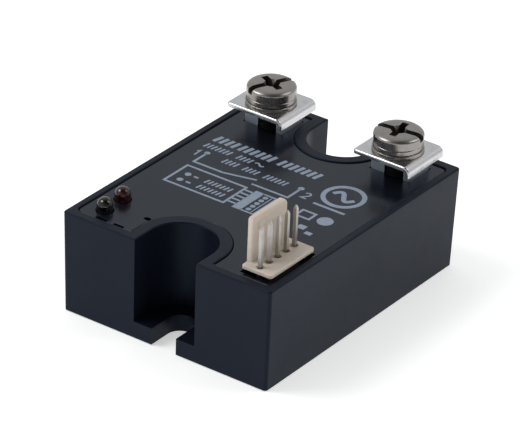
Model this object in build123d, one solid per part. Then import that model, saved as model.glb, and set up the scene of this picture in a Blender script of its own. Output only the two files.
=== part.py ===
from build123d import *
import math
import os

# Panel-mount solid state relay in the 58 x 45 mm block format. Millimetres, +Z up.
# Origin: middle of the footprint, on the heatsink face. X is the width, Y the length.
# The control end, with its lamps and pin header, is at -Y; the power terminals are at +Y.

# Driving dimensions: body
WIDTH = 44.8
LENGTH = 58.2
HEIGHT = 20.0
DRAFT = 0.4             # each side leans out by this much from the base to the top
BODY_FOOT = 0.15        # the metal base stands proud of the plastic by this much
CORNER = 0.6
RIM_FILLET = 0.3
WALL_X = 2.1
WALL_Y = 2.4

# Screw wells at both ends, and the slots in their floors
WELL_R = 6.6
WELL_Y = 24.4
WELL_WALL = 3.0
FLANGE_TOP = 3.4
SLOT_R = 2.65
SLOT_Y = 23.8

# Base plate
BASE_T = 2.0
BASE_INSET = 1.2
BASE_SLOT_R = 3.85
GLUE_GAP = 0.05

# Cover, which lies in a pocket in the top
RECESS = 0.2
COVER_T = 1.5
POCKET_X = 21.0
POCKET_Y = 27.1
POCKET_WELL_R = 8.9
POCKET_CORNER = 1.0
COVER_GAP = 0.1
COVER_EDGE = 0.2
RELEASE_NOTCHES = ((-16.9, -14.4), (-13.0, -10.8))
RELEASE_DEPTH = 0.65
POUR_PLACE = (-9.5, -21.6)      # the filling goes in through this hole
POUR_SIZE = (1.4, 1.0)
COVER_TOP = HEIGHT - RECESS
LEDGE = COVER_TOP - COVER_T

# Power terminals
TERM_X = 13.95
TERM_Y = 21.1
POST_HALF = 4.3
POST_FRONT = 2.2        # from the screw axis to the front of the post
POST_BASE = 13.0
POST_GAP = (-1.1, 2.9)  # the gap in the post's front, which shows the screw
PLATE_UNDER = 23.4
PLATE_T = 0.8
PLATE_X = (-6.3, 5.9)   # limits from the screw axis
PLATE_Y = (-5.2, 6.1)
PLATE_LIP = 2.0         # how far the folded edge reaches down from the top face
PLATE_BEND_R = 1.3
BORE_R = 2.5
BORE_FLOOR = 14.2
PLATE_HOLE_R = 2.8
FLAT_WASHER_R = 4.75
FLAT_WASHER_T = 0.75
WASHER_IN_R = 2.65
WASHER_OUT_R = 4.5
WASHER_T = 0.95
WASHER_SPLIT = 0.5
WASHER_TURN = -135.0
SHANK_R = 2.1
SHANK_TIP = 15.2
HEAD_R = 4.6
HEAD_T = 2.2
HEAD_CROWN = (1.4, 0.75)        # the rounded edge's reach inwards and down
DRIVE_ANGLES = (66.0, 8.0)
DRIVE_W = 1.3
DRIVE_DEPTH = 1.2
CROSS_LENGTH = 5.6
CROSS_DEPTH = 1.7
CROSS_CONE_R = 1.5
CROSS_CONE_DEPTH = 2.1
PLATE_TOP = PLATE_UNDER + PLATE_T
WASHER_UNDER = PLATE_TOP + FLAT_WASHER_T
HEAD_UNDER = WASHER_UNDER + WASHER_T

# Power stage on the base plate
CERAMIC = (32.0, 25.4, 0.63)
CERAMIC_Y = 1.7
COPPER_T = 0.3
COPPER_MARGIN = 1.0
COPPER_SPLIT = 0.8
CHIP = 9.0
CHIP_T = 0.4
CHIP_PLACES = ((-7.0, -3.0), (7.0, 5.0))
CLIP_W = 5.0
CLIP_T = 0.5
CERAMIC_TOP = BASE_T + CERAMIC[2]
COPPER_TOP = CERAMIC_TOP + COPPER_T
CHIP_TOP = COPPER_TOP + CHIP_T
POTTING_TOP = 7.0
RISER_X = 12.1
RISER_W = 4.5
RISER_T = 1.2
RISER_Y = 13.2
FOOT_LENGTH = 4.0
FOOT_T = 1.0

# Control board
BOARD_Z = 14.8
BOARD_T = 1.6
BOARD_X = 19.6
BOARD_FRONT = -26.2
BOARD_BACK = 10.5
BOARD_WELL_R = 10.0
BOARD_TOP = BOARD_Z + BOARD_T

# Lamps
LED_X = -17.15
LED_STATUS_Y = -23.85
LED_ALARM_Y = -18.75
LED_R = 1.5
LED_FLANGE_R = 1.9
LED_FLANGE_T = 0.9
LED_FOOT = BOARD_TOP + 0.3
LED_TOP = 22.3
LED_HOLE_R = 1.7
LED_PITCH = 1.27        # from the lamp's axis to each of its leads, along X

# Pin header
HEADER_X = (13.9, 20.2)
HEADER_Y = (-26.0, -13.1)
HEADER_TOP = 21.2
HEADER_UNDER = 20.5
LOCK_T = 1.0
LOCK_Y = (-24.4, -14.2)
LOCK_TOP = 29.7
PIN_X = 17.0
PIN_MID_Y = -19.75
PIN_PITCH = 2.5
PIN_W = 0.64
PIN_TAIL = 13.0
PIN_TOP = 29.1
PIN_COUNT = 5
HEADER_CLEAR = 0.15
HEADER_FOOT_INSET = 2.1


def bar(x, y, z):
    """A block between two limits on each axis."""
    size = [high - low for low, high in (x, y, z)]
    mid = [(high + low) / 2 for low, high in (x, y, z)]
    return Pos(*mid) * Box(*size)


def rod(x, y, z, r):
    """An upright cylinder between two heights."""
    return Pos(x, y, (z[0] + z[1]) / 2) * Cylinder(r, z[1] - z[0])


def well_shape(r, y):
    """Plan of both end notches: a half round, open to the end of the body."""
    reach = LENGTH / 2 + 2 - y
    shape = Sketch()
    for end in (-1, 1):
        shape += Pos(0, end * y) * Circle(r)
        shape += Pos(0, end * (y + reach / 2)) * Rectangle(2 * r, reach)
    return shape


def prism(shape, z):
    return extrude(Pos(0, 0, z[0]) * shape, z[1] - z[0])


def chamber_shape():
    plan = RectangleRounded(2 * (WIDTH / 2 - WALL_X), 2 * (LENGTH / 2 - WALL_Y), POCKET_CORNER)
    return plan - well_shape(WELL_R + WELL_WALL, WELL_Y)


def cover_shape(gap):
    plan = RectangleRounded(2 * (POCKET_X - gap), 2 * (POCKET_Y - gap), POCKET_CORNER)
    return plan - well_shape(POCKET_WELL_R + gap, WELL_Y)


def base_shape(gap):
    half_x = WIDTH / 2 - DRAFT - BASE_INSET - gap
    half_y = LENGTH / 2 - DRAFT - BASE_INSET - gap
    return RectangleRounded(2 * half_x, 2 * half_y, CORNER) - well_shape(BASE_SLOT_R + gap, SLOT_Y)


def base_plate():
    plate = prism(base_shape(GLUE_GAP), (0, BASE_T))
    return chamfer(plate.edges().group_by(Axis.Z)[0], 0.15)


def housing():
    foot = RectangleRounded(WIDTH - 2 * DRAFT, LENGTH - 2 * DRAFT, CORNER)
    top = RectangleRounded(WIDTH, LENGTH, CORNER)
    body = loft([Pos(0, 0, BODY_FOOT) * foot, Pos(0, 0, HEIGHT) * top], ruled=True)
    body -= prism(well_shape(WELL_R, WELL_Y), (FLANGE_TOP, HEIGHT + 1))
    body -= prism(well_shape(SLOT_R, SLOT_Y), (-1, FLANGE_TOP + 1))
    body -= prism(base_shape(0), (-1, BASE_T))
    body -= prism(chamber_shape(), (BASE_T - 0.5, LEDGE + 0.5))
    body -= prism(cover_shape(0), (LEDGE, HEIGHT + 1))
    body = fillet(body.edges().group_by(Axis.Z)[-1], RIM_FILLET)
    inner = WIDTH / 2 - WALL_X
    for side in (-1, 1):
        for y in (-9.0, 6.0):
            reach = sorted((side * (inner - 1.4), side * (inner + 0.4)))
            body += bar(reach, (y - 1, y + 1), (BOARD_Z - 3, BOARD_Z))
    return body


def post_opening():
    """Plan of the hole in the cover round a terminal post."""
    play = 0.3
    depth = POST_HALF + POST_FRONT + play
    return Pos(0, (POST_HALF - POST_FRONT) / 2) * Rectangle(2 * POST_HALF + play, depth)


def cover():
    lid = prism(cover_shape(COVER_GAP), (LEDGE, COVER_TOP))
    lid = fillet(lid.edges().group_by(Axis.Z)[-1], COVER_EDGE)
    through = (LEDGE - 1, COVER_TOP + 1)
    for side in (-1, 1):
        lid -= Pos(side * TERM_X, TERM_Y) * prism(post_opening(), through)
    for y in (LED_STATUS_Y, LED_ALARM_Y):
        lid -= rod(LED_X, y, through, LED_HOLE_R)
    lid -= bar(
        (HEADER_X[0] - HEADER_CLEAR, HEADER_X[1] + HEADER_CLEAR),
        (HEADER_Y[0] - HEADER_CLEAR, HEADER_Y[1] + HEADER_CLEAR),
        through,
    )
    for low, high in RELEASE_NOTCHES:
        lid -= bar((low, high), (-POCKET_Y - 1, -POCKET_Y + RELEASE_DEPTH), through)
    lid -= Pos(*POUR_PLACE) * prism(SlotOverall(*POUR_SIZE), through)
    return lid


def ceramic_substrate():
    width, length, thick = CERAMIC
    return Pos(0, CERAMIC_Y, BASE_T + thick / 2) * Box(width, length, thick)


def substrate_copper():
    """Two power pads side by side on the ceramic."""
    outer = CERAMIC[0] / 2 - COPPER_MARGIN
    half_y = CERAMIC[1] / 2 - COPPER_MARGIN
    span_y = (CERAMIC_Y - half_y, CERAMIC_Y + half_y)
    pads = [
        bar(sorted((side * COPPER_SPLIT / 2, side * outer)), span_y, (CERAMIC_TOP, COPPER_TOP))
        for side in (-1, 1)
    ]
    return Compound(pads)


def thyristor_chip(x, y):
    return Pos(x, y, COPPER_TOP + CHIP_T / 2) * Box(CHIP, CHIP, CHIP_T)


def thyristor_clip(x, y):
    """Copper strap from the top of one chip down to the pad of the other."""
    away = math.copysign(1, -x)
    start = x - away * 3.0
    step = (1.2, 1.6)
    end = 4.2
    outline = [
        (start, CHIP_TOP), (away * step[0], CHIP_TOP), (away * step[1], COPPER_TOP),
        (away * end, COPPER_TOP), (away * end, COPPER_TOP + CLIP_T),
        (away * (step[1] + 0.2), COPPER_TOP + CLIP_T),
        (away * (step[0] + 0.2), CHIP_TOP + CLIP_T), (start, CHIP_TOP + CLIP_T),
    ]
    side = Plane.XZ * make_face(Polyline(outline, close=True))
    return Pos(0, y, 0) * extrude(side, CLIP_W / 2, both=True)


def gate_places():
    """Each chip has a gate pin on its corner and a return pin on its strap."""
    for x, y in CHIP_PLACES:
        out = math.copysign(1, x)
        yield x + out * 3.8, y - 3.6, CHIP_TOP
        yield x + out * 1.5, y, CHIP_TOP + CLIP_T


def gate_lead_pins():
    return Compound([rod(x, y, (z, BOARD_TOP + 0.6), 0.4) for x, y, z in gate_places()])


def terminal_post(side):
    """Brass block with the screw's thread, on a riser from the power stage."""
    x = side * TERM_X
    riser = sorted((side * (RISER_X - RISER_W / 2), side * (RISER_X + RISER_W / 2)))
    riser_y = (RISER_Y - RISER_T / 2, RISER_Y + RISER_T / 2)
    block = (TERM_Y - POST_FRONT, TERM_Y + POST_HALF)
    post = bar((x - POST_HALF, x + POST_HALF), block, (POST_BASE, PLATE_UNDER))
    post = fillet(post.edges().filter_by(Axis.Z), 0.5)
    post = chamfer(post.edges().group_by(Axis.Z)[-1], 0.2)
    hole = (BORE_FLOOR, PLATE_UNDER + 1)
    post -= rod(x, TERM_Y, hole, BORE_R)
    post -= bar((x + POST_GAP[0], x + POST_GAP[1]), (block[0] - 1, TERM_Y), hole)
    post += bar(riser, (riser_y[0], block[0] + 1.0), (POST_BASE - 0.2, POST_BASE + 1.1))
    post += bar(riser, riser_y, (COPPER_TOP, POST_BASE + 1.1))
    post += bar(riser, (riser_y[1] - FOOT_LENGTH, riser_y[1]), (COPPER_TOP, COPPER_TOP + FOOT_T))
    return post


def clamp_plate(side):
    """Square wire clamp with its outer edge folded down."""
    low, high = PLATE_X
    bend = PLATE_BEND_R
    inner = bend - PLATE_T
    tip = PLATE_TOP - PLATE_LIP
    line = Polyline((low, PLATE_UNDER), (low, PLATE_TOP), (high - bend, PLATE_TOP))
    line += RadiusArc((high - bend, PLATE_TOP), (high, PLATE_TOP - bend), bend)
    line += Polyline((high, PLATE_TOP - bend), (high, tip), (high - PLATE_T, tip))
    line += Line((high - PLATE_T, tip), (high - PLATE_T, PLATE_UNDER - inner))
    line += RadiusArc((high - PLATE_T, PLATE_UNDER - inner), (high - bend, PLATE_UNDER), -inner)
    line += Line((high - bend, PLATE_UNDER), (low, PLATE_UNDER))
    front, back = PLATE_Y
    plate = Pos(0, (front + back) / 2, 0) * extrude(Plane.XZ * make_face(line), (back - front) / 2, both=True)
    near_corner = plate.edges().filter_by(Axis.Z).group_by(Axis.X)[0]
    plate = fillet(near_corner, 0.8)
    plate = fillet(plate.edges().group_by(Axis.X)[0].sort_by(Axis.Z)[-1], 0.35)
    plate = Pos(side * TERM_X, TERM_Y, 0) * plate
    return plate - rod(side * TERM_X, TERM_Y, (PLATE_UNDER - 1, PLATE_TOP + 1), PLATE_HOLE_R)


def flat_washer(side):
    ring = rod(0, 0, (PLATE_TOP, WASHER_UNDER), FLAT_WASHER_R)
    ring -= rod(0, 0, (PLATE_TOP - 1, WASHER_UNDER + 1), WASHER_IN_R)
    ring = fillet(ring.edges().filter_by(GeomType.CIRCLE), 0.15)
    return Pos(side * TERM_X, TERM_Y, 0) * ring


def spring_washer(side):
    """Flattened split lock washer."""
    ring = rod(0, 0, (WASHER_UNDER, HEAD_UNDER), WASHER_OUT_R)
    ring -= rod(0, 0, (WASHER_UNDER - 1, HEAD_UNDER + 1), WASHER_IN_R)
    split = Rot(0, 0, WASHER_TURN) * Pos(WASHER_OUT_R, 0, WASHER_UNDER) * Rot(20, 0, 0)
    ring -= split * Box(2 * WASHER_OUT_R - 2, WASHER_SPLIT, 6)
    ring = chamfer(ring.edges().filter_by(GeomType.CIRCLE), 0.12)
    return Pos(side * TERM_X, TERM_Y, 0) * ring


def terminal_screw(side, angle):
    """M5 pan-head screw with a full-width slot crossed by a star recess."""
    top = HEAD_UNDER + HEAD_T
    reach, drop = HEAD_CROWN
    outline = Polyline((0, top), (0, HEAD_UNDER), (HEAD_R - 0.15, HEAD_UNDER), (HEAD_R, HEAD_UNDER + 0.15),
                       (HEAD_R, top - drop))
    outline += EllipticalCenterArc((HEAD_R - reach, top - drop), reach, drop, start_angle=0, arc_size=90)
    outline += Line((HEAD_R - reach, top), (0, top))
    head = revolve(Plane.XZ * make_face(outline), Axis.Z)
    head -= Pos(0, 0, top) * Box(2 * HEAD_R + 1, DRIVE_W, 2 * DRIVE_DEPTH)
    head -= Pos(0, 0, top) * Box(DRIVE_W, CROSS_LENGTH, 2 * CROSS_DEPTH)
    head -= Pos(0, 0, top) * Box(CROSS_LENGTH, DRIVE_W, 2 * CROSS_DEPTH)
    pit = Pos(0, 0, top - CROSS_CONE_DEPTH / 2) * Cone(0.3, CROSS_CONE_R, CROSS_CONE_DEPTH)
    head -= pit
    shank = rod(0, 0, (SHANK_TIP, HEAD_UNDER), SHANK_R)
    shank = chamfer(shank.edges().group_by(Axis.Z)[0], 0.5)
    return Pos(side * TERM_X, TERM_Y, 0) * Rot(0, 0, angle) * (head + shank)


def pin_places():
    middle = (PIN_COUNT - 1) / 2
    return [PIN_MID_Y + (i - middle) * PIN_PITCH for i in range(PIN_COUNT)]


def lead_places():
    for y in (LED_STATUS_Y, LED_ALARM_Y):
        for way in (-1, 1):
            yield LED_X + way * LED_PITCH, y


def control_board():
    plan = Pos(0, (BOARD_FRONT + BOARD_BACK) / 2) * Rectangle(2 * BOARD_X, BOARD_BACK - BOARD_FRONT)
    plan -= well_shape(BOARD_WELL_R, WELL_Y)
    board = prism(plan, (BOARD_Z, BOARD_TOP))
    through = (BOARD_Z - 1, BOARD_TOP + 1)
    for y in pin_places():
        board -= rod(PIN_X, y, through, 0.55)
    for x, y in lead_places():
        board -= rod(x, y, through, 0.45)
    for x, y, _ in gate_places():
        board -= rod(x, y, through, 0.6)
    for x, y in sensor_places():
        board -= rod(x, y, through, 0.45)
    return board


def header_body():
    """Five-way wafer on a narrower foot, with the friction lock wall along its inner side."""
    wafer = bar(HEADER_X, HEADER_Y, (HEADER_UNDER, HEADER_TOP))
    wafer = fillet(wafer.edges().filter_by(Axis.Z), 0.5)
    wafer = fillet(wafer.edges().group_by(Axis.Z)[-1], 0.2)
    inner = HEADER_X[0] + LOCK_T
    foot_x = (inner + 0.8, HEADER_X[1] - 1.8)
    foot_y = (HEADER_Y[0] + HEADER_FOOT_INSET, HEADER_Y[1] - HEADER_FOOT_INSET)
    foot = bar(foot_x, foot_y, (BOARD_TOP, HEADER_UNDER + 0.2))
    wall = bar((HEADER_X[0], inner), LOCK_Y, (HEADER_UNDER + 0.1, LOCK_TOP))
    wall = fillet(wall.edges().filter_by(Axis.X).group_by(Axis.Z)[-1].sort_by(Axis.Y)[-1], 1.4)
    wall = fillet(wall.edges().filter_by(Axis.X).group_by(Axis.Z)[-1].sort_by(Axis.Y)[0], 0.5)
    wall = fillet(wall.faces().sort_by(Axis.X)[-1].edges().group_by(Axis.Z)[-1], 0.35)
    hook_low = LOCK_TOP - 2.6
    hook = [(inner, hook_low), (inner + 0.4, hook_low + 0.5), (inner, hook_low + 1.6)]
    ridge = Plane.XZ * make_face(Polyline(hook, close=True))
    middle = (LOCK_Y[0] + LOCK_Y[1]) / 2
    body = wafer + foot + wall + Pos(0, middle, 0) * extrude(ridge, 3.4, both=True)
    for y in pin_places():
        body -= bar((PIN_X - PIN_W / 2, PIN_X + PIN_W / 2), (y - PIN_W / 2, y + PIN_W / 2),
                    (BOARD_TOP - 1, HEADER_TOP + 1))
        body -= rod(PIN_X, y, (HEADER_TOP - 0.4, HEADER_TOP + 1), 0.75)
    return body


def header_pin(y):
    pin = bar((PIN_X - PIN_W / 2, PIN_X + PIN_W / 2), (y - PIN_W / 2, y + PIN_W / 2), (PIN_TAIL, PIN_TOP))
    pin = chamfer(pin.edges().group_by(Axis.Z)[-1], 0.6, 0.2)
    return chamfer(pin.edges().group_by(Axis.Z)[0], 0.12)


def led(y):
    """Three-millimetre round lamp: flange, barrel and dome."""
    flange = rod(LED_X, y, (LED_FOOT, LED_FOOT + LED_FLANGE_T), LED_FLANGE_R)
    barrel = rod(LED_X, y, (LED_FOOT, LED_TOP - LED_R), LED_R)
    return flange + barrel + Pos(LED_X, y, LED_TOP - LED_R) * Sphere(LED_R)


def led_leads(y):
    half = 0.25
    leads = [
        bar((LED_X + way * LED_PITCH - half, LED_X + way * LED_PITCH + half), (y - half, y + half),
            (BOARD_Z - 1.2, LED_FOOT))
        for way in (-1, 1)
    ]
    return Compound(leads)


def opto_coupler(x, y):
    """Six-pin package hanging under the board."""
    body = Pos(x, y, BOARD_Z - 2.25) * Box(8.6, 6.4, 3.3)
    body = chamfer(body.edges().filter_by(Axis.Z, reverse=True), 0.3)
    for column in (-2.54, 0, 2.54):
        for row in (-1, 1):
            edge = sorted((y + row * 3.0, y + row * 3.7))
            body += bar((x + column - 0.5, x + column + 0.5), edge, (BOARD_Z - 2.4, BOARD_Z))
    return body


def microcontroller():
    """Square flat package with leads on four sides."""
    x, y, half = 3.0, -1.0, 3.5
    chip = Pos(x, y, BOARD_TOP + 0.6) * Box(2 * half, 2 * half, 0.9)
    chip = chamfer(chip.edges().group_by(Axis.Z)[-1], 0.15)
    for turn in range(4):
        for i in range(8):
            offset = (i - 3.5) * 0.8
            lead = bar((half - 0.1, half + 0.9), (offset - 0.18, offset + 0.18), (BOARD_TOP, BOARD_TOP + 0.3))
            chip += Pos(x, y, 0) * Rot(0, 0, 90 * turn) * lead
    return chip


def chip_resistors():
    places = [(column, row) for column in (-14.0, -11.2, -8.4, -5.6) for row in (0.8, 4.2, 7.6)]
    return Compound([Pos(x, y, BOARD_TOP + 0.275) * Box(1.25, 2.0, 0.55) for x, y in places])


def voltage_regulator():
    x, y = 11.5, -8.0
    body = Pos(x, y, BOARD_TOP + 0.6) * Box(4.5, 2.5, 1.2)
    for column in (-1.5, 0, 1.5):
        body += bar((x + column - 0.22, x + column + 0.22), (y - 2.1, y - 1.2), (BOARD_TOP, BOARD_TOP + 0.4))
    return body


def varistor():
    """Disc on two leads under the board."""
    x, y, z = 15.0, -4.0, BOARD_Z - 4.0
    disc = Pos(x, y, z) * Rot(0, 90, 0) * Cylinder(3.4, 3.6)
    disc = fillet(disc.edges().filter_by(GeomType.CIRCLE), 1.0)
    for way in (-1, 1):
        disc += rod(x + way * 0.8, y + way * 2.0, (z, BOARD_Z), 0.3)
    return disc


def snubber_capacitor():
    box = bar((2.6, 7.4), (-8.0, 3.5), (7.6, 14.2))
    box = fillet(box.edges(), 0.4)
    for y in (-6.5, 2.0):
        box += rod(5.0, y, (13.0, BOARD_Z), 0.35)
    return box


def snubber_resistor():
    x, y, z = -14.5, -2.0, BOARD_Z - 2.2
    body = Pos(x, y, z) * Rot(90, 0, 0) * Cylinder(1.6, 9.0)
    body = fillet(body.edges().filter_by(GeomType.CIRCLE), 0.5)
    for way in (-1, 1):
        ends = sorted((y + way * 4.4, y + way * 5.7))
        body += bar((x - 0.3, x + 0.3), ends, (z - 0.3, z + 0.3))
        body += bar((x - 0.3, x + 0.3), sorted((y + way * 5.1, y + way * 5.7)), (z - 0.3, BOARD_Z))
    return body


def filter_capacitor():
    can = rod(-14.0, -14.0, (8.0, BOARD_Z - 0.2), 3.15)
    can = fillet(can.edges().group_by(Axis.Z)[0], 0.5)
    for way in (-1, 1):
        can += rod(-14.0 + way * 1.25, -14.0, (BOARD_Z - 0.5, BOARD_Z), 0.25)
    return can


def sensor_places():
    return [(RISER_X - 1.5, RISER_Y - 4.5), (RISER_X + 1.5, RISER_Y - 4.5)]


def current_sensor_core():
    ring = rod(RISER_X, RISER_Y, (8.0, 10.0), 4.5)
    return ring - rod(RISER_X, RISER_Y, (7.0, 11.0), 3.1)


def current_sensor_winding():
    """Coil former over the front half of the core."""
    coil = rod(RISER_X, RISER_Y, (7.6, 10.4), 4.9) - rod(RISER_X, RISER_Y, (7.0, 11.0), 2.75)
    coil -= rod(RISER_X, RISER_Y, (8.0, 10.0), 4.5) - rod(RISER_X, RISER_Y, (7.0, 11.0), 3.1)
    return coil & bar((RISER_X - 6, RISER_X + 6), (RISER_Y - 6, RISER_Y - 1.0), (7.0, 11.0))


def current_sensor_leads():
    return Compound([rod(x, y, (10.4, BOARD_TOP + 0.4), 0.3) for x, y in sensor_places()])


def potting_compound(buried):
    """Gel poured over the power stage, moulded round everything in it."""
    fill = prism(chamber_shape(), (BASE_T, POTTING_TOP))
    for piece in buried:
        for solid in piece.solids():
            fill -= solid
    return fill


def all_parts():
    parts = {
        "base_plate": base_plate(),
        "housing": housing(),
        "cover": cover(),
        "ceramic_substrate": ceramic_substrate(),
        "substrate_copper": substrate_copper(),
        "gate_lead_pins": gate_lead_pins(),
        "control_board": control_board(),
        "opto_coupler_1": opto_coupler(-3.5, 6.0),
        "opto_coupler_2": opto_coupler(-3.5, -3.0),
        "microcontroller": microcontroller(),
        "chip_resistors": chip_resistors(),
        "voltage_regulator": voltage_regulator(),
        "varistor": varistor(),
        "snubber_capacitor": snubber_capacitor(),
        "snubber_resistor": snubber_resistor(),
        "filter_capacitor": filter_capacitor(),
        "current_sensor_core": current_sensor_core(),
        "current_sensor_winding": current_sensor_winding(),
        "current_sensor_leads": current_sensor_leads(),
        "header_body": header_body(),
        "led_status": led(LED_STATUS_Y),
        "led_status_leads": led_leads(LED_STATUS_Y),
        "led_alarm": led(LED_ALARM_Y),
        "led_alarm_leads": led_leads(LED_ALARM_Y),
    }
    for number, (x, y) in enumerate(CHIP_PLACES, 1):
        parts[f"thyristor_chip_{number}"] = thyristor_chip(x, y)
        parts[f"thyristor_clip_{number}"] = thyristor_clip(x, y)
    for number, side in enumerate((-1, 1), 1):
        parts[f"terminal_post_{number}"] = terminal_post(side)
        parts[f"clamp_plate_{number}"] = clamp_plate(side)
        parts[f"flat_washer_{number}"] = flat_washer(side)
        parts[f"spring_washer_{number}"] = spring_washer(side)
        parts[f"terminal_screw_{number}"] = terminal_screw(side, DRIVE_ANGLES[number - 1])
    for number, y in enumerate(pin_places(), 1):
        parts[f"header_pin_{number}"] = header_pin(y)
    buried = ["ceramic_substrate", "substrate_copper", "gate_lead_pins"]
    buried += [f"{kind}_{n}" for kind in ("thyristor_chip", "thyristor_clip", "terminal_post") for n in (1, 2)]
    parts["potting_compound"] = potting_compound([parts[name] for name in buried])
    return parts


os.makedirs("parts", exist_ok=True)
for node, shape in all_parts().items():
    export_step(shape, f"parts/{node}.step")
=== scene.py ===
import math

import bmesh
import bpy
import numpy as np
from bpy.props import FloatProperty, FloatVectorProperty, IntProperty, PointerProperty
from mathutils import Matrix, Vector


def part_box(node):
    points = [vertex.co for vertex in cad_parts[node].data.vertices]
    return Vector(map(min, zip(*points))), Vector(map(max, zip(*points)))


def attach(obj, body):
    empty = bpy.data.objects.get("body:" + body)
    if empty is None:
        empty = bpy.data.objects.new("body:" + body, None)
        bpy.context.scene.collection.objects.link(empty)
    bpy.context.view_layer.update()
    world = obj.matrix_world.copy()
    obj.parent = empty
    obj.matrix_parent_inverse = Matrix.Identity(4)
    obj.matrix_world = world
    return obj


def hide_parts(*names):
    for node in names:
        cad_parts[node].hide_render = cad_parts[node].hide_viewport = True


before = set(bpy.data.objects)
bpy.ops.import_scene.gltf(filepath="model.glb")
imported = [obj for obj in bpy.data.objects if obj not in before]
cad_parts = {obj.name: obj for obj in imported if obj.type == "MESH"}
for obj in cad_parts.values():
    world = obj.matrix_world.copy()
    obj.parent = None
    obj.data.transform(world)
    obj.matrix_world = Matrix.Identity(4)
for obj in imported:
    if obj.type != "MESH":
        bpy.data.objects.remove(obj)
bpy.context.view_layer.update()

bl_info = {
    "name": "Solid state relay looks",
    "version": (1, 0, 0),
    "blender": (4, 5, 0),
    "location": "View3D > Sidebar > Relay",
    "description": "Finishes, print, lamps and threads for a panel-mount solid state relay",
    "category": "Object",
}

MM = 0.001
ROOT = "root"


# ---------------------------------------------------------------- places read from the frame

def corner(node, end, axis):
    """One limit of a CAD node, in metres: end 0 is low and 1 is high, axis 0, 1 or 2."""
    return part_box(node)[end][axis]


def middle(node):
    low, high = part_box(node)
    return (low + high) / 2


COVER_TOP = corner("cover", 1, 2)
HEAD_TOP = corner("terminal_screw_1", 1, 2)
HEAD_UNDER = corner("spring_washer_1", 1, 2)
PLATE_UNDER = corner("terminal_post_1", 1, 2)
SHANK_TIP = corner("terminal_screw_1", 0, 2)
WAFER_UNDER = COVER_TOP + 0.7 * MM


# ---------------------------------------------------------------- fixed sizes and colours

INK_SINK = 0.03 * MM      # how far the print reaches down into the cover
WAYS = 5                  # pins of the header, also in the printed diagram
WAY_PITCH = 1.27          # between the ways in the printed diagram, in millimetres
FLANGE_T = 0.9 * MM       # thickness of a lamp's flange
THREAD_CORE_R = 2.1 * MM  # radius of the screw's shank
THREAD_STEPS = 40         # rows of points in one turn of the thread
RING_PITCH = 0.22 * MM    # between the turned rings on a screw's head
WEAVE_PITCH = 0.5 * MM    # of the board's glass cloth
# painted shade: the near-black colour of the header's foot in the shadow under its wafer
HEADER_FOOT_SHADE = (0.03, 0.024, 0.018)
# the dark brown painted on the floor of a screw's drive recess
RECESS_FLOOR_DARK = (0.075, 0.05, 0.042)
# painted shade: the near-black colour of the shank and thread below the clamp plate
SHANK_SHADE = (0.012, 0.0115, 0.012)
FLOOR_HALF = 2.0
FLOOR_LEVEL = -0.02 * MM
FLOOR_POINTS = 9
SENSOR_WIDTH = 36.0

# name, place in metres, side in metres, power in watts
SOFTBOXES = (
    ("left", (-0.62, -0.4, 0.9), 0.5, 4.6),
    ("right", (0.57, 0.49, 0.85), 0.5, 1.9),
)


# ---------------------------------------------------------------- settings

class RelayPlastics(bpy.types.PropertyGroup):
    housing: FloatVectorProperty(
        name="Housing", description="Colour of the moulded housing", subtype="COLOR",
        size=3, min=0, max=1, default=(0.0055, 0.0075, 0.0145))
    cover: FloatVectorProperty(
        name="Cover", description="Colour of the moulded cover", subtype="COLOR",
        size=3, min=0, max=1, default=(0.0058, 0.0070, 0.0115))
    housing_roughness: FloatProperty(
        name="Housing roughness", description="Roughness of the housing",
        default=0.38, min=0, max=1, subtype="FACTOR")
    cover_roughness: FloatProperty(
        name="Cover roughness", description="Roughness of the cover",
        default=0.2, min=0, max=1, subtype="FACTOR")
    grain: FloatProperty(
        name="Mould grain", description="Size of the eroded grain left by the mould",
        default=0.22 * MM, min=0.02 * MM, max=MM, unit="LENGTH", precision=5)
    nylon: FloatVectorProperty(
        name="Header", description="Colour of the pin header's nylon", subtype="COLOR",
        size=3, min=0, max=1, default=(0.67, 0.595, 0.505))


class RelayPrint(bpy.types.PropertyGroup):
    ink: FloatVectorProperty(
        name="Ink", description="Colour of the pad print", subtype="COLOR",
        size=3, min=0, max=1, default=(0.27, 0.325, 0.42))
    origin: FloatVectorProperty(
        name="Origin", description="Where the middle of the print lies on the cover", subtype="XYZ",
        size=2, default=(0.5 * MM, -0.75 * MM), unit="LENGTH", precision=5)
    line: FloatProperty(
        name="Line", description="Width of the printed lines",
        default=0.5 * MM, min=0.1 * MM, max=2 * MM, unit="LENGTH", precision=5)
    thickness: FloatProperty(
        name="Ink height", description="How far the ink stands above the cover",
        default=0.02 * MM, min=0.005 * MM, max=0.1 * MM, unit="LENGTH", precision=6)


class RelayMetals(bpy.types.PropertyGroup):
    screw: FloatVectorProperty(
        name="Screws", description="Colour of the plated screws and washers", subtype="COLOR",
        size=3, min=0, max=1, default=(0.30, 0.28, 0.262))
    plate: FloatVectorProperty(
        name="Clamp plates", description="Colour of the clamp plates", subtype="COLOR",
        size=3, min=0, max=1, default=(0.60, 0.595, 0.60))
    post: FloatVectorProperty(
        name="Posts", description="Colour of the terminal posts", subtype="COLOR",
        size=3, min=0, max=1, default=(0.70, 0.77, 0.86))
    lead: FloatProperty(
        name="Thread lead", description="Rise of the screw thread in one turn", default=0.8 * MM,
        min=0.2 * MM, max=2 * MM, unit="LENGTH", precision=5)
    crest: FloatProperty(
        name="Thread crest", description="Radius over the thread",
        default=2.44 * MM, min=MM, max=4 * MM, unit="LENGTH", precision=5)


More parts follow.
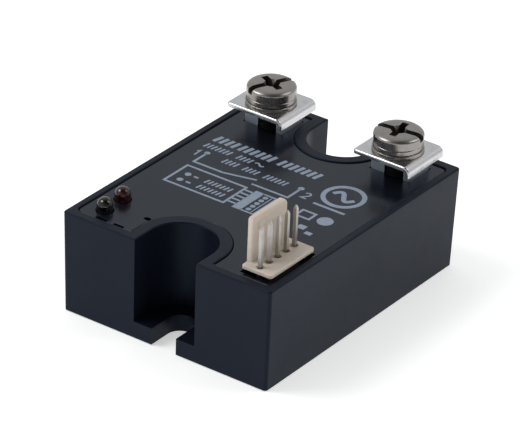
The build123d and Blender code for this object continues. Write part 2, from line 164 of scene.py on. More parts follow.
class RelayLamps(bpy.types.PropertyGroup):
    clear: FloatVectorProperty(
        name="Status lens", description="Tint of the clear lamp", subtype="COLOR",
        size=3, min=0, max=1, default=(0.045, 0.05, 0.06))
    red: FloatVectorProperty(
        name="Alarm lens", description="Tint of the red lamp", subtype="COLOR",
        size=3, min=0, max=1, default=(0.14, 0.012, 0.013))
    radius: FloatProperty(
        name="Lens radius", description="Radius of the lamp's barrel and dome", default=1.5 * MM,
        min=MM, max=3 * MM, unit="LENGTH", precision=5)
    segments: IntProperty(
        name="Segments", description="Faces round each lens", default=64, min=16, max=256)


class RelayStage(bpy.types.PropertyGroup):
    azimuth: FloatProperty(
        name="Azimuth",
        description="Direction of the camera round the relay, 0 in front of the control end",
        default=math.radians(34.72), subtype="ANGLE")
    elevation: FloatProperty(
        name="Elevation", description="Height of the camera above the horizon",
        default=math.radians(29.08), subtype="ANGLE")
    roll: FloatProperty(
        name="Roll", description="Turn of the camera about its own line of sight",
        default=math.radians(2.5), subtype="ANGLE")
    distance: FloatProperty(
        name="Distance", description="From the camera to the relay", default=765.8 * MM, min=0.1,
        unit="LENGTH")
    rise: FloatProperty(
        name="Aim",
        description="How far above the origin the camera aims, across its line of sight",
        default=12.85 * MM, unit="LENGTH", precision=5)
    lens: FloatProperty(
        name="Lens", description="Focal length in millimetres on a 36 mm sensor",
        default=296.1, min=10)
    floor: FloatVectorProperty(
        name="Floor", description="Colour of the floor", subtype="COLOR",
        size=3, min=0, max=1, default=(0.9, 0.9, 0.9))
    sky: FloatProperty(
        name="Surround", description="Brightness of the plain surround", default=0.72, min=0)
    shade: FloatProperty(
        name="Shade", description="Brightness of the surround where it is darkest",
        default=0.1, min=0)
    shade_azimuth: FloatProperty(
        name="Shade azimuth", description="Direction in which the surround is darkest",
        default=math.radians(60), subtype="ANGLE")


# ---------------------------------------------------------------- shapes as surfaces of two parameters

class Surface:
    """Gathers grids of points and their faces, and makes one mesh of them."""

    def __init__(self):
        self.points = []
        self.faces = []
        self.count = 0

    def add(self, grid, wrap=True, caps=False):
        """Adds a grid of shape (rows, columns, 3), with a quad between rows i and i+1 and columns
        j and j+1. With wrap, each row is a closed loop. With caps, the end rows are filled."""
        rows, columns, _ = grid.shape
        index = np.arange(rows * columns).reshape(rows, columns) + self.count
        right = np.roll(index, -1, axis=1) if wrap else index[:, 1:]
        left = index if wrap else index[:, :-1]
        quads = np.stack([left[:-1], right[:-1], right[1:], left[1:]], axis=-1).reshape(-1, 4)
        self.faces += quads.tolist()
        if caps:
            self.faces += [index[0, ::-1].tolist(), index[-1].tolist()]
        self.points.append(grid.reshape(-1, 3))
        self.count += rows * columns
        return self

    def mesh(self, name, smooth=True):
        """Joins doubled points, such as those at a pole, and turns every face outwards."""
        data = bpy.data.meshes.new(name)
        data.from_pydata(np.concatenate(self.points).tolist(), [], self.faces)
        work = bmesh.new()
        work.from_mesh(data)
        bmesh.ops.remove_doubles(work, verts=work.verts, dist=1e-7)
        bmesh.ops.recalc_face_normals(work, faces=work.faces)
        work.to_mesh(data)
        work.free()
        data.polygons.foreach_set("use_smooth", np.full(len(data.polygons), smooth))
        piece = bpy.data.objects.new(name, data)
        bpy.context.scene.collection.objects.link(piece)
        return piece


def lathe(profile, place, segments):
    """Turns a profile round an upright axis: point (u, v) is at r(u) cos v and r(u) sin v from the
    place, and at height z(u)."""
    radius, height = np.asarray(profile, float).T
    turn = np.linspace(0, 2 * math.pi, segments, endpoint=False)
    grid = np.empty((len(radius), segments, 3))
    grid[..., 0] = place[0] + radius[:, None] * np.cos(turn)
    grid[..., 1] = place[1] + radius[:, None] * np.sin(turn)
    grid[..., 2] = height[:, None]
    return grid


def column(place, heights, half_x, half_y, power=4.0, segments=32):
    """An upright column: each level is the superellipse |x/a|^p + |y/b|^p = 1 about the place."""
    turn = np.linspace(0, 2 * math.pi, segments, endpoint=False)
    cos, sin = np.cos(turn), np.sin(turn)
    round_x = np.sign(cos) * np.abs(cos) ** (2 / power)
    round_y = np.sign(sin) * np.abs(sin) ** (2 / power)
    grid = np.empty((len(heights), segments, 3))
    grid[..., 0] = place[0] + np.asarray(half_x)[:, None] * round_x
    grid[..., 1] = place[1] + np.asarray(half_y)[:, None] * round_y
    grid[..., 2] = np.asarray(heights)[:, None]
    return grid


def ribbon(path, width, low, high, closed=False):
    """A flat strip along a path in plan: a rectangular profile carried along it, mitred at corners.
    Between unit normals m and n, the side offset is half the width times (m + n) / (1 + m.n)."""
    path = np.asarray(path, float)
    ends = np.roll(path, -1, axis=0) if closed else path[1:]
    starts = path if closed else path[:-1]
    run = ends - starts
    run /= np.linalg.norm(run, axis=1, keepdims=True)
    normal = np.stack([-run[:, 1], run[:, 0]], axis=1)
    if closed:
        before, after = np.roll(normal, 1, axis=0), normal
    else:
        before = np.vstack([normal[:1], normal])
        after = np.vstack([normal, normal[-1:]])
    share = 1 + np.sum(before * after, axis=1, keepdims=True)
    side = (before + after) / share * width / 2
    grid = np.empty((len(path), 4, 3))
    grid[:, 0, :2] = grid[:, 1, :2] = path + side
    grid[:, 2, :2] = grid[:, 3, :2] = path - side
    grid[:, (0, 3), 2] = low
    grid[:, (1, 2), 2] = high
    return np.concatenate([grid, grid[:1]]) if closed else grid


def arc(centre, radius, start, end, steps):
    """Points on a circle from one angle to another, in degrees."""
    turn = np.radians(np.linspace(start, end, steps))
    return np.stack([centre[0] + radius * np.cos(turn), centre[1] + radius * np.sin(turn)], axis=1)


# ---------------------------------------------------------------- materials

class Value:
    """A node's output. Arithmetic on it adds Math nodes to its tree."""

    def __init__(self, graph, socket):
        self.graph = graph
        self.socket = socket

    def math(self, operation, *values):
        return self.graph.node("ShaderNodeMath", {"operation": operation}, dict(enumerate(values)))

    def __add__(self, other):
        return self.math("ADD", self, other)

    def __radd__(self, other):
        return self.math("ADD", other, self)

    def __sub__(self, other):
        return self.math("SUBTRACT", self, other)

    def __rsub__(self, other):
        return self.math("SUBTRACT", other, self)

    def __mul__(self, other):
        return self.math("MULTIPLY", self, other)

    def __rmul__(self, other):
        return self.math("MULTIPLY", other, self)

    def __pow__(self, other):
        return self.math("POWER", self, other)

    def __rpow__(self, other):
        return self.math("POWER", other, self)


class Graph:
    """One material's node tree."""

    def __init__(self, name):
        self.material = bpy.data.materials.new(name)
        self.material.use_nodes = True
        self.tree = self.material.node_tree
        self.tree.nodes.clear()
        self.place = self.node("ShaderNodeTexCoord", output="Object")

    def node(self, kind, settings=None, inputs=None, output=0):
        """Adds a node: its settings first, with a ramp's stops among them, then its sockets' values
        or links."""
        made = self.tree.nodes.new(kind)
        for key, value in (settings or {}).items():
            if key == "stops":
                self.set_stops(made.color_ramp, value)
            else:
                setattr(made, key, value)
        for key, value in (inputs or {}).items():
            if isinstance(value, Value):
                self.tree.links.new(value.socket, made.inputs[key])
            else:
                made.inputs[key].default_value = value
        return Value(self, made.outputs[output])

    @staticmethod
    def set_stops(ramp, stops):
        while len(ramp.elements) < len(stops):
            ramp.elements.new(1.0)
        for element, (position, colour) in zip(ramp.elements, stops):
            element.position = position
            element.color = (*colour, 1.0)

    def stretch(self, factors):
        """The place with each axis multiplied by its own factor. A small one draws a pattern out
        along its axis."""
        sockets = {0: self.place, 1: factors}
        return self.node("ShaderNodeVectorMath", {"operation": "MULTIPLY"}, sockets)

    def noise(self, size, detail=2.0, rough=0.5, place=None):
        """Soft noise from 0 to 1, with features about the given size in metres."""
        sockets = {
            "Vector": place or self.place, "Scale": 1 / size, "Detail": detail, "Roughness": rough}
        return self.node("ShaderNodeTexNoise", None, sockets, "Fac")

    def cells(self, size, feature="F1"):
        """Distance from the middles or the edges of cells about the given size in metres."""
        sockets = {"Vector": self.place, "Scale": 1 / size}
        return self.node("ShaderNodeTexVoronoi", {"feature": feature}, sockets, "Distance")

    def axis(self, name):
        """One coordinate of the place, in metres."""
        return self.node("ShaderNodeSeparateXYZ", None, {"Vector": self.place}, name)

    def step(self, value, low, high):
        """0 below low and 1 above high, smooth between."""
        sockets = {"Value": value, "From Min": low, "From Max": high}
        return self.node("ShaderNodeMapRange", {"interpolation_type": "SMOOTHSTEP"}, sockets)

    def ripple(self, value, pitch):
        """A sine of a length, from -1 to 1, with the given pitch in metres."""
        turns = value * (2 * math.pi / pitch)
        return self.node("ShaderNodeMath", {"operation": "SINE"}, {0: turns})

    def mix(self, factor, first, second):
        """A colour between two colours."""
        pair = [value if isinstance(value, Value) else (*value, 1.0) for value in (first, second)]
        sockets = {0: factor, 6: pair[0], 7: pair[1]}
        return self.node("ShaderNodeMix", {"data_type": "RGBA"}, sockets, 2)

    def bump(self, height, distance, strength):
        """A surface normal from a height from 0 to 1, for a relief of the given depth in metres."""
        sockets = {"Height": height, "Distance": distance, "Strength": strength}
        return self.node("ShaderNodeBump", None, sockets)

    def finish(self, **sockets):
        """Ends the tree in a Principled shader. Underscores in the names stand for spaces."""
        named = {}
        for key, value in sockets.items():
            plain_colour = isinstance(value, (tuple, list)) and len(value) == 3
            named[key.replace("_", " ")] = (*value, 1.0) if plain_colour else value
        shader = self.node("ShaderNodeBsdfPrincipled", None, named)
        end = self.tree.nodes.new("ShaderNodeOutputMaterial")
        self.tree.links.new(shader.socket, end.inputs["Surface"])
        return self.material


def tone(colour, factor):
    """A colour made lighter or darker, kept in range."""
    return tuple(min(1.0, channel * factor) for channel in colour)


def moulded_plastic(name, colour, roughness, grain, gloss, relief_strength):
    """Dark moulded thermoplastic: spark-eroded grain, faint flow marks and handling haze."""
    graph = Graph(name)
    flow = graph.noise(9 * MM, 3.0, 0.6)
    speck = graph.noise(grain, 2.0, 0.6)
    haze = graph.step(graph.noise(5 * MM, 5.0, 0.65), 0.42, 0.72)
    colours = graph.mix(flow, tone(colour, 0.82), tone(colour, 1.22))
    relief = speck * 0.8 + graph.cells(grain * 1.6) * 0.35
    return graph.finish(
        Base_Color=colours,
        Roughness=roughness + haze * 0.05 + (speck - 0.5) * 0.08,
        Specular_IOR_Level=gloss,
        Specular_Tint=(0.55, 0.75, 1.0),
        Normal=graph.bump(relief, 0.004 * MM, relief_strength),
    )


def header_nylon(colour):
    """Natural nylon: waxy, with a fine matt grain, and painted shade that turns the foot nearly black
    below the wafer, where it enters the cover.
    """
    graph = Graph("header_nylon")
    cloud = graph.noise(2.4 * MM, 3.0, 0.55)
    # painted shade: 1 below the wafer's underside and 0 on the wafer; the foot below is mixed nearly
    # to black
    depth = 1 - graph.step(graph.axis("Z"), WAFER_UNDER - 0.4 * MM, WAFER_UNDER)
    base = graph.mix(cloud, tone(colour, 0.93), tone(colour, 1.05))
    base = graph.mix(depth * 0.9, base, HEADER_FOOT_SHADE)
    grain = graph.noise(0.12 * MM, 2.0, 0.6)
    return graph.finish(
        Base_Color=base,
        Roughness=0.46 + cloud * 0.1,
        Subsurface_Weight=0.3,
        Subsurface_Scale=1.5 * MM,
        Normal=graph.bump(grain, 0.004 * MM, 0.5),
    )


def plated_metal(name, colour, roughness, drawn, scratch=0.5):
    """Plated metal: drawn lines along one axis, small pits, and stains that dull it."""
    graph = Graph(name)
    lines = graph.noise(0.16 * MM, 3.0, 0.7, graph.stretch(drawn))
    stain = graph.step(graph.noise(1.7 * MM, 5.0, 0.65), 0.45, 0.75)
    pits = graph.step(graph.cells(0.55 * MM), 0.02, 0.16)
    base = graph.mix(stain * 0.4, colour, tone(colour, 0.72))
    base = graph.mix((1 - pits) * 0.35, base, tone(colour, 0.5))
    return graph.finish(
        Base_Color=base,
        Metallic=1.0,
        Roughness=roughness + stain * 0.12 + (lines - 0.5) * 0.12,
        Normal=graph.bump(lines * 0.7 + pits * 0.4, 0.006 * MM, scratch),
    )


def screw_metal(colour, centre, number):
    """Plated screw steel: turned rings on the head, the floor of the drive recess painted dark brown,
    and painted shade on the shank below the clamp plate.
    """
    graph = Graph(f"screw_plating_{number}")
    away_x = graph.axis("X") - centre[0]
    away_y = graph.axis("Y") - centre[1]
    radius = (away_x * away_x + away_y * away_y) ** 0.5
    height = graph.axis("Z")
    inside = 1 - graph.step(radius, 4.1 * MM, 4.5 * MM)
    sunk = 1 - graph.step(height, HEAD_TOP - 0.75 * MM, HEAD_TOP - 0.1 * MM)
    above = graph.step(height, HEAD_UNDER + 0.1 * MM, HEAD_UNDER + 0.3 * MM)
    recess = inside * sunk * above
    stain = graph.step(graph.noise(1.1 * MM, 5.0, 0.65), 0.42, 0.78)
    rings = graph.ripple(radius, RING_PITCH)
    dents = graph.noise(0.35 * MM, 3.0, 0.6)
    base = graph.mix(stain * 0.45, colour, tone(colour, 0.7))
    # the floor of the drive recess is painted dark brown
    base = graph.mix(recess * 0.82, base, RECESS_FLOOR_DARK)
    # painted shade: the shank and its thread below the clamp plate's underside are darkened nearly to
    # black
    shank = 1 - graph.step(height, PLATE_UNDER - 0.6 * MM, PLATE_UNDER)
    base = graph.mix(shank * 0.95, base, SHANK_SHADE)
    return graph.finish(
        Base_Color=base,
        Metallic=1.0,
        Roughness=0.22 + stain * 0.12 + (recess + shank) * 0.25 + dents * 0.06,
        Normal=graph.bump(rings * 0.12 + dents * 0.9, 0.01 * MM, 0.5),
    )


def pad_print(colour):
    """Pad-printed ink: thin cover in places, a slight orange peel and a satin surface."""
    graph = Graph("print_ink")
    thin = graph.step(graph.noise(0.5 * MM, 4.0, 0.7), 0.3, 0.75)
    peel = graph.noise(0.15 * MM, 2.0, 0.5)
    return graph.finish(
        Base_Color=graph.mix(thin, tone(colour, 0.86), tone(colour, 1.08)),
        Roughness=0.42 + peel * 0.16,
        Normal=graph.bump(peel, 0.004 * MM, 0.5),
    )


def lamp_resin(name, tint, haze, clear):
    """Cast lamp resin: tinted, with faint flow in its colour, and as see-through as clear says."""
    graph = Graph(name)
    flow = graph.noise(0.9 * MM, 2.0, 0.5)
    return graph.finish(
        Base_Color=graph.mix(flow, tint, tone(tint, 0.92)),
        Roughness=0.05 + flow * haze,
        IOR=1.52,
        Transmission_Weight=clear,
    )


def coated(name, colour, roughness, size, depth=0.01 * MM, metallic=0.0):
    """A plain coated or fired surface: mottled colour, with features of the given size, and a soft
    relief."""
    graph = Graph(name)
    mottle = graph.noise(size, 4.0, 0.6)
    fine = graph.noise(size / 8, 2.0, 0.6)
    return graph.finish(
        Base_Color=graph.mix(mottle, tone(colour, 0.82), tone(colour, 1.15)),
        Metallic=metallic,
        Roughness=roughness + (fine - 0.5) * 0.15,
        Normal=graph.bump(fine, depth, 0.5),
    )


def board_laminate():
    """Green solder mask over a glass weave, with the copper tracks showing as a lighter green."""
    graph = Graph("board_laminate")
    weave_x = graph.ripple(graph.axis("X"), WEAVE_PITCH)
    weave_y = graph.ripple(graph.axis("Y"), WEAVE_PITCH)
    tracks = graph.step(graph.cells(2.6 * MM, "DISTANCE_TO_EDGE"), 0.09, 0.12)
    base = graph.mix(tracks, (0.012, 0.07, 0.028), (0.006, 0.04, 0.017))
    return graph.finish(
        Base_Color=base,
        Roughness=0.28 + graph.noise(3 * MM) * 0.1,
        Normal=graph.bump(weave_x * weave_y * 0.1 + (1 - tracks) * 0.5, 0.02 * MM, 0.6),
    )


def base_metal():
    """Plated base plate: long grinding lines along its length and a few stains."""
    graph = Graph("base_metal")
    lines = graph.noise(0.2 * MM, 4.0, 0.75, graph.stretch((1.0, 0.02, 1.0)))
    stain = graph.step(graph.noise(7 * MM, 5.0, 0.65), 0.5, 0.8)
    return graph.finish(
        Base_Color=graph.mix(stain * 0.5, (0.62, 0.62, 0.63), (0.46, 0.46, 0.45)),
        Metallic=1.0,
        Roughness=0.3 + lines * 0.18 + stain * 0.1,
        Normal=graph.bump(lines, 0.008 * MM, 0.6),
    )


def potting_gel():
    """Silicone gel: cloudy, soft and slightly see-through."""
    graph = Graph("potting_gel")
    cloud = graph.noise(4 * MM, 4.0, 0.6)
    return graph.finish(
        Base_Color=graph.mix(cloud, (0.42, 0.44, 0.42), (0.6, 0.62, 0.58)),
        Roughness=0.16 + cloud * 0.1,
        Subsurface_Weight=0.3,
        Subsurface_Scale=2 * MM,
        Normal=graph.bump(cloud, 0.05 * MM, 0.4),
    )


def stage_floor(colour):
    """Pale seamless paper, with its faint fibre."""
    graph = Graph("stage_floor")
    fibre = graph.noise(1.2 * MM, 4.0, 0.6)
    return graph.finish(
        Base_Color=graph.mix(fibre, tone(colour, 0.985), colour),
        Roughness=0.85,
        Specular_IOR_Level=0.1,
        Emission_Color=(1.0, 1.0, 1.0),
        Emission_Strength=0.5,
        Normal=graph.bump(fibre, 0.01 * MM, 0.2),
    )


def wear(node, material):
    """Gives a CAD node its finish: its material slots are filled and its mesh is left alone."""
    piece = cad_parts[node]
    if not piece.material_slots:
        raise RuntimeError(f"{node} has no material slot")
    for index in range(len(piece.material_slots)):
        piece.material_slots[index].material = material


def fit_out(piece, body, material):
    """Gives a new piece its material, its body and the finish it stands for."""
    piece.data.materials.append(material)
    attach(piece, body)
    return piece


# ---------------------------------------------------------------- print

class Ink:
    """Draws flat print on the cover. Plan positions are in millimetres from the print's origin."""

    def __init__(self, settings):
        self.low = COVER_TOP - INK_SINK
        self.high = COVER_TOP + settings.thickness
        self.width = settings.line
        self.origin = np.array(settings.origin)
        self.material = pad_print(settings.ink)

    def lines(self, surface, *paths, width=None, closed=False):
        for path in paths:
            route = np.asarray(path) * MM + self.origin
            strip = ribbon(route, width or self.width, self.low, self.high, closed)
            surface.add(strip, caps=not closed)

    def block(self, surface, x, y):
        """A filled rectangle between two limits each way."""
        level = (y[0] + y[1]) / 2
        self.lines(surface, [(x[0], level), (x[1], level)], width=(y[1] - y[0]) * MM)

    def dot(self, surface, x, y, radius):
        edge = radius * MM
        profile = [(0, self.low), (edge, self.low), (edge, self.high - 0.004 * MM),
                   (edge - 0.03 * MM, self.high), (0, self.high)]
        surface.add(lathe(profile, np.array((x, y)) * MM + self.origin, 40))

    def hatch(self, surface, x, y, pitch=0.85, weight=0.42):
        """Even slanting dashes between two limits each way, in place of a word of small print."""
        lean = 0.22 * (y[1] - y[0])
        for start in np.arange(x[0] + weight / 2, x[1] - lean, pitch):
            self.lines(surface, [(start, y[0]), (start + lean, y[1])], width=weight * MM)

    def place(self, surface, name):
        return fit_out(surface.mesh(name, smooth=False), ROOT, self.material)


def numeral_one(x, y, tall):
    """A stem with a short flag."""
    return [(x - 0.22 * tall, y + 0.78 * tall), (x, y + tall), (x, y)]


def numeral_two(x, y, tall):
    """An arc over the top, a slope down to the foot, and the foot."""
    radius = 0.27 * tall
    bow = arc((x, y + tall - radius), radius, 165, -35, 14)
    return np.vstack([bow, [(x - radius, y), (x + radius * 1.1, y)]])


def wave(x, y, length, height, steps=40):
    """One period of a sine: the sign for alternating current."""
    t = np.linspace(0, 1, steps)
    return np.stack([x + (t - 0.5) * length, y + height * np.sin(2 * math.pi * t)], axis=1)


class RELAY_OT_print(bpy.types.Operator):
    """Print the generic circuit diagram and terminal numbers on the cover"""

    bl_idname = "relay.print"
    bl_label = "Print"

    def execute(self, context):
        ink = Ink(context.scene.relay_print)
        self.small_print(ink)
        self.switch(ink)
        self.panel(ink)
        self.connector(ink)
        self.signs(ink)
        return {"FINISHED"}

    def small_print(self, ink):
        title = Surface()
        for span in ((-18.7, -13.9), (-13.2, -5.2), (-4.5, 4.3)):
            ink.hatch(title, span, (9.7, 12.0), pitch=1.3, weight=0.78)
        ink.place(title, "print_title_bars")
        rating = Surface()
        for span in ((-18.7, -12.9), (-11.5, -8.2)):
            ink.hatch(rating, span, (6.9, 8.5))
        for span in ((-12.6, -8.9), (-8.1, -4.6), (-3.5, 1.4)):
            ink.hatch(rating, span, (4.1, 5.7))
        ink.lines(rating, wave(-6.6, 7.7, 2.0, 0.35), width=0.4 * MM)
        ink.place(rating, "print_rating_bars")

    def switch(self, ink):
        """An open contact between the two numbered terminals."""
        drawing = Surface()
        ink.lines(
            drawing,
            [(-16.4, 5.0), (-16.4, 1.2), (-9.9, 1.2), (-3.6, 2.8)],
            [(-3.5, 1.1), (4.3, 1.1), (4.3, 4.9)],
        )
        numerals = (numeral_one(-17.9, 3.3, 2.0), numeral_two(6.5, 2.8, 2.0))
        ink.lines(drawing, *numerals, width=0.36 * MM)
        ink.dot(drawing, -16.4, 5.3, 0.55)
        ink.dot(drawing, 4.3, 5.3, 0.6)
        ink.place(drawing, "print_switch")

    def panel(self, ink):
        """A box with the two lamps, joined by five lines to the connector."""
        drawing = Surface()
        box = [(-16.4, -0.6), (-3.4, -0.6), (-3.4, -7.6), (-16.4, -7.6)]
        ink.lines(drawing, box, closed=True)
        for row in (-3.3, -5.7):
            ink.dot(drawing, -14.3, row, 0.62)
            ink.block(drawing, (-13.0, -12.0), (row - 0.25, row + 0.25))
            ink.hatch(drawing, (-10.5, -4.6), (row - 0.65, row + 0.75))
        for way in range(WAYS):
            level = -1.45 - WAY_PITCH * way
            ink.block(drawing, (-3.2, -1.3), (level - 0.24, level + 0.24))
        ink.place(drawing, "print_control_panel")

    def connector(self, ink):
        drawing = Surface()
        ink.block(drawing, (-1.4, 0.45), (-7.9, -0.4))
        ink.lines(drawing, [(0.3, -0.62), (3.2, -0.62), (3.2, -7.7), (0.3, -7.7)], width=0.42 * MM)
        ink.lines(drawing, [(2.45, -1.0), (2.45, -7.3)], width=0.22 * MM)
        for way in range(WAYS):
            ink.dot(drawing, 1.45, -1.6 - WAY_PITCH * way, 0.5)
        ink.place(drawing, "print_connector")

    def signs(self, ink):
        """The general sign of an alternating source over its supply, and small filled marks."""
        drawing = Surface()
        ink.lines(drawing, arc((11.9, 7.6), 3.7, 0, 352.5, 48), width=0.9 * MM, closed=True)
        ink.lines(drawing, wave(11.9, 7.6, 4.6, 1.25), width=0.9 * MM)
        ink.block(drawing, (8.9, 15.6), (2.2, 2.8))
        ink.place(drawing, "print_source_sign")
        marks = Surface()
        ink.dot(marks, 14.4, -1.7, 1.5)
        ink.lines(marks, [(9.0, -0.7), (11.8, -0.7), (11.8, -3.0), (9.0, -3.0)], closed=True)
        ink.block(marks, (11.6, 13.2), (-6.6, -5.2))
        ink.block(marks, (13.9, 15.3), (-7.6, -6.6))
        ink.place(marks, "print_marks")


# ---------------------------------------------------------------- housing, header and inner parts

class RELAY_OT_housing(bpy.types.Operator):
    """Give the housing and its cover their moulded finish"""

    bl_idname = "relay.housing"
    bl_label = "Housing and cover"

    def execute(self, context):
        set_up = context.scene.relay_plastics
        wear("housing", moulded_plastic(
            "housing_plastic", set_up.housing, set_up.housing_roughness, set_up.grain, 0.15, 0.5))
        wear("cover", moulded_plastic(
            "cover_plastic", set_up.cover, set_up.cover_roughness, set_up.grain * 0.8, 0.3, 0.25))
        wear("base_plate", base_metal())
        return {"FINISHED"}


class RELAY_OT_header(bpy.types.Operator):
    """Give the pin header its nylon and its tinned pins"""

    bl_idname = "relay.header"
    bl_label = "Pin header"

    def execute(self, context):
        wear("header_body", header_nylon(context.scene.relay_plastics.nylon))
        tin = plated_metal("tinned_pin", (0.46, 0.44, 0.42), 0.32, (1.0, 1.0, 0.06))
        for way in range(WAYS):
            wear(f"header_pin_{way + 1}", tin)
        for node in (
                "gate_lead_pins", "led_status_leads", "led_alarm_leads", "current_sensor_leads"):
            wear(node, tin)
        return {"FINISHED"}


class RELAY_OT_inside(bpy.types.Operator):
    """Give the parts inside the housing their finishes"""

    bl_idname = "relay.inside"
    bl_label = "Inner parts"

    def execute(self, context):
        finishes = {
            "ceramic_substrate": coated("fired_alumina", (0.78, 0.77, 0.73), 0.55, 1.5 * MM),
            "control_board": board_laminate(),
            "potting_compound": potting_gel(),
            "varistor": coated("blue_dip", (0.02, 0.07, 0.3), 0.3, 2 * MM, 0.04 * MM),
            "snubber_capacitor": coated("red_film_case", (0.4, 0.04, 0.03), 0.35, 3 * MM),
            "snubber_resistor": coated(
                "grey_lacquer", (0.2, 0.24, 0.22), 0.4, 1.5 * MM, 0.02 * MM),
            "filter_capacitor": coated("sleeved_can", (0.03, 0.04, 0.1), 0.3, 3 * MM),
            "current_sensor_core": coated(
                "sintered_ferrite", (0.045, 0.045, 0.05), 0.62, 0.8 * MM, 0.02 * MM),
            "chip_resistors": coated("resistor_glaze", (0.03, 0.03, 0.035), 0.3, 0.8 * MM),
        }
        for node, material in finishes.items():
            wear(node, material)
        black = coated("package_plastic", (0.018, 0.018, 0.02), 0.5, 0.9 * MM, 0.006 * MM)
        for node in ("opto_coupler_1", "opto_coupler_2", "microcontroller", "voltage_regulator"):
            wear(node, black)
        copper = plated_metal("bare_copper", (0.72, 0.36, 0.2), 0.3, (0.1, 1.0, 1.0))
        for node in (
                "substrate_copper", "thyristor_clip_1", "thyristor_clip_2", "current_sensor_winding"):
            wear(node, copper)
        silicon = coated("polished_silicon", (0.12, 0.13, 0.16), 0.18, 2 * MM, 0.001 * MM, 0.6)
        for node in ("thyristor_chip_1", "thyristor_chip_2"):
            wear(node, silicon)
        return {"FINISHED"}


# ---------------------------------------------------------------- lamps

class RELAY_OT_lamps(bpy.types.Operator):
    """Cast the two lamps and set their lead frames inside them"""

    bl_idname = "relay.lamps"
    bl_label = "Lamps"

    def execute(self, context):
        set_up = context.scene.relay_lamps
        frame_metal = plated_metal("lamp_frame", (0.2, 0.16, 0.11), 0.3, (1.0, 1.0, 0.2))
        casts = {
            "led_status": ("status_lens", set_up.clear, 0.05, 1.0),
            "led_alarm": ("alarm_lens", set_up.red, 0.15, 0.88),
        }
        for node, (slot, *cast) in casts.items():
            lens = self.lens(node, set_up)
            fit_out(lens, ROOT, lamp_resin(slot, *cast))
            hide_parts(node)
            posts = self.lead_frame(node, set_up.radius)
            fit_out(posts, ROOT, frame_metal)
        return {"FINISHED"}

    def lens(self, node, set_up):
        """Flange, barrel and dome turned as one. The dome is a quarter circle from the barrel to the
        axis."""
        low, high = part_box(node)
        flange = (high.x - low.x) / 2
        radius = set_up.radius
        foot, top = low.z, high.z
        ledge = foot + FLANGE_T
        turn = np.linspace(0, math.pi / 2, 24)
        dome = np.stack([radius * np.cos(turn), top - radius + radius * np.sin(turn)], axis=1)
        dome[-1, 0] = 0.0
        edge = 0.08 * MM
        start = [(0, foot), (flange - edge, foot), (flange, foot + edge), (flange, ledge - edge),
                 (flange - edge, ledge), (radius + edge, ledge), (radius, ledge + edge)]
        profile = np.vstack([start, dome])
        centre = middle(node)
        skin = lathe(profile, (centre.x, centre.y), set_up.segments)
        return Surface().add(skin).mesh(node.replace("led", "lens"))

    def lead_frame(self, node, radius):
        """The broad blade that carries the chip's cup, and the narrow blade beside it."""
        low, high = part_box(node)
        centre = middle(node)
        cup_top = high.z - radius - 0.1 * MM
        foot = low.z + 0.1 * MM
        levels = np.array([
            foot, foot, foot + 1.2 * MM, cup_top - 0.9 * MM, cup_top - 0.35 * MM, cup_top, cup_top])
        broad = np.array([0.0, 0.24, 0.24, 0.42, 0.52, 0.56, 0.0]) * MM
        deep = np.array([0.0, 0.22, 0.22, 0.3, 0.46, 0.5, 0.0]) * MM
        posts = Surface().add(column((centre.x - 0.5 * MM, centre.y), levels, broad, deep))
        narrow_levels = levels - np.array([0, 0, 0, 0, 0.2, 0.25, 0.25]) * MM
        narrow = np.array([0.0, 0.22, 0.22, 0.24, 0.3, 0.26, 0.0]) * MM
        posts.add(column((centre.x + 0.62 * MM, centre.y), narrow_levels, narrow, deep * 0.8))
        return posts.mesh(node.replace("led", "lead_frame"))


# ---------------------------------------------------------------- power terminals

class RELAY_OT_terminals(bpy.types.Operator):
    """Plate the power terminals and cut the threads of their screws"""

    bl_idname = "relay.terminals"
    bl_label = "Power terminals"

    def execute(self, context):
        metals = context.scene.relay_metals
        post = plated_metal("post_plating", metals.post, 0.42, (1.0, 1.0, 0.3))
        plate = plated_metal("plate_plating", metals.plate, 0.2, (1.0, 0.1, 1.0), 0.35)
        for number in (1, 2):
            centre = middle(f"spring_washer_{number}")
            steel = screw_metal(metals.screw, centre, number)
            wear(f"terminal_post_{number}", post)
            wear(f"clamp_plate_{number}", plate)
            wear(f"flat_washer_{number}", steel)
            wear(f"spring_washer_{number}", steel)
            wear(f"terminal_screw_{number}", steel)
            thread = self.thread(centre, metals, number)
            fit_out(thread, f"screw_{number}", steel)
        return {"FINISHED"}

    def thread(self, centre, metals, number):
        """A ridge wound round the shank: at angle a the profile's point (r, h) goes to
        (r cos a, r sin a, start + lead a / 2 pi + h). The ridge sinks into the core at both ends."""
        start, end = SHANK_TIP + 0.55 * MM, HEAD_UNDER - 0.5 * MM
        turns = (end - start) / metals.lead
        angle = np.linspace(0, 2 * math.pi * turns, int(turns * THREAD_STEPS))
        share = angle / angle[-1]
        grow = np.clip(np.minimum(share, 1 - share) * turns / 0.6, 0.02, 1)
        half = metals.lead * 0.46
        inner = THREAD_CORE_R - 0.06 * MM
        outer = inner + (metals.crest - inner) * grow
        root = np.full_like(angle, inner)
        radius = np.stack([root, outer, outer, root], axis=1)
        height = np.stack(
            [-half * grow, -0.1 * half * grow, 0.1 * half * grow, half * grow], axis=1)
        grid = np.empty((len(angle), 4, 3))
        grid[..., 0] = centre.x + radius * np.cos(angle)[:, None]
        grid[..., 1] = centre.y + radius * np.sin(angle)[:, None]
        grid[..., 2] = start + (metals.lead * angle / (2 * math.pi))[:, None] + height
        return Surface().add(grid, caps=True).mesh(f"screw_thread_{number}", smooth=False)


# ---------------------------------------------------------------- stage

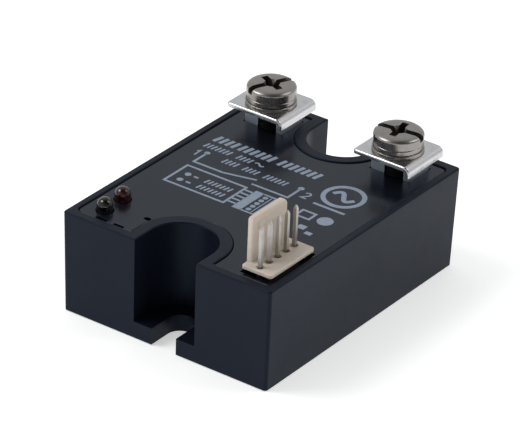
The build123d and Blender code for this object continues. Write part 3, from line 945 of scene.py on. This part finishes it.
class RELAY_OT_stage(bpy.types.Operator):
    """Lay the floor, set the soft lights and aim the camera"""

    bl_idname = "relay.stage"
    bl_label = "Stage"

    def execute(self, context):
        stage = context.scene.relay_stage
        self.floor(stage)
        self.surround(context.scene, stage)
        for softbox in SOFTBOXES:
            self.softbox(*softbox)
        self.camera(context.scene, stage)
        return {"FINISHED"}

    def floor(self, stage):
        """A flat square sheet just below the relay."""
        span = np.linspace(-FLOOR_HALF, FLOOR_HALF, FLOOR_POINTS)
        across, along = np.meshgrid(span, span, indexing="ij")
        grid = np.stack([across, along, np.full_like(across, FLOOR_LEVEL)], axis=-1)
        piece = Surface().add(grid, wrap=False).mesh("stage_floor", smooth=False)
        piece.data.materials.append(stage_floor(stage.floor))

    def surround(self, scene, stage):
        """A plain surround that darkens smoothly round one direction, above the shade azimuth."""
        world = bpy.data.worlds.new("surround")
        world.use_nodes = True
        tree = world.node_tree
        backdrop = tree.nodes["Background"]
        backdrop.inputs["Color"].default_value = (0.97, 0.985, 1.0, 1.0)
        place = tree.nodes.new("ShaderNodeTexCoord")
        facing = tree.nodes.new("ShaderNodeVectorMath")
        facing.operation = "DOT_PRODUCT"
        turn = stage.shade_azimuth
        toward = Vector((math.sin(turn), -math.cos(turn), 1.6)).normalized()
        facing.inputs[1].default_value = toward
        fade = tree.nodes.new("ShaderNodeMapRange")
        fade.interpolation_type = "SMOOTHSTEP"
        limits = {"From Min": 0.45, "From Max": 0.95, "To Min": stage.sky, "To Max": stage.shade}
        for key, value in limits.items():
            fade.inputs[key].default_value = value
        tree.links.new(place.outputs["Generated"], facing.inputs[0])
        tree.links.new(facing.outputs["Value"], fade.inputs["Value"])
        tree.links.new(fade.outputs["Result"], backdrop.inputs["Strength"])
        scene.world = world
        scene.view_settings.view_transform = "Standard"

    def softbox(self, name, place, size, power):
        """A square light that faces the relay."""
        data = bpy.data.lights.new(name, "AREA")
        data.energy = power
        data.size = size
        light = bpy.data.objects.new(name, data)
        light.location = place
        light.rotation_mode = "QUATERNION"
        light.rotation_quaternion = Vector(place).to_track_quat("Z", "Y")
        bpy.context.scene.collection.objects.link(light)

    def camera(self, scene, stage):
        """Looks along -back. Its right and its top are turned about that line by the roll."""
        a, e, r = stage.azimuth, stage.elevation, stage.roll
        back = Vector((math.sin(a) * math.cos(e), -math.cos(a) * math.cos(e), math.sin(e)))
        level = Vector((math.cos(a), math.sin(a), 0))
        up = back.cross(level)
        right = level * math.cos(r) + up * math.sin(r)
        top = up * math.cos(r) - level * math.sin(r)
        data = bpy.data.cameras.new("camera")
        data.lens = stage.lens
        data.sensor_width = SENSOR_WIDTH
        camera = bpy.data.objects.new("camera", data)
        turn = Matrix((right, top, back)).transposed().to_4x4()
        camera.matrix_world = Matrix.Translation(back * stage.distance + top * stage.rise) @ turn
        scene.collection.objects.link(camera)
        scene.camera = camera


# ---------------------------------------------------------------- panel and registration

STEPS = (
    RELAY_OT_stage,
    RELAY_OT_housing,
    RELAY_OT_print,
    RELAY_OT_header,
    RELAY_OT_inside,
    RELAY_OT_lamps,
    RELAY_OT_terminals,
)
SETTINGS = {
    "relay_plastics": RelayPlastics,
    "relay_print": RelayPrint,
    "relay_metals": RelayMetals,
    "relay_lamps": RelayLamps,
    "relay_stage": RelayStage,
}


class RELAY_PT_looks(bpy.types.Panel):
    """Lists the relay's settings and the steps that make its looks"""

    bl_label = "Relay"
    bl_idname = "RELAY_PT_looks"
    bl_space_type = "VIEW_3D"
    bl_region_type = "UI"
    bl_category = "Relay"

    def draw(self, context):
        for name, group in SETTINGS.items():
            box = self.layout.box()
            box.label(text=name.split("_")[1].capitalize())
            for key in group.__annotations__:
                box.prop(getattr(context.scene, name), key)
        for step in STEPS:
            self.layout.operator(step.bl_idname)


def register():
    for group in SETTINGS.values():
        bpy.utils.register_class(group)
    for name, group in SETTINGS.items():
        setattr(bpy.types.Scene, name, PointerProperty(type=group))
    for step in STEPS:
        bpy.utils.register_class(step)
    bpy.utils.register_class(RELAY_PT_looks)


def unregister():
    bpy.utils.unregister_class(RELAY_PT_looks)
    for step in reversed(STEPS):
        bpy.utils.unregister_class(step)
    for name in SETTINGS:
        delattr(bpy.types.Scene, name)
    for group in reversed(SETTINGS.values()):
        bpy.utils.unregister_class(group)


def main():
    register()
    for step in STEPS:
        space, name = step.bl_idname.split(".")
        getattr(getattr(bpy.ops, space), name)()


if __name__ == "__main__":
    main()
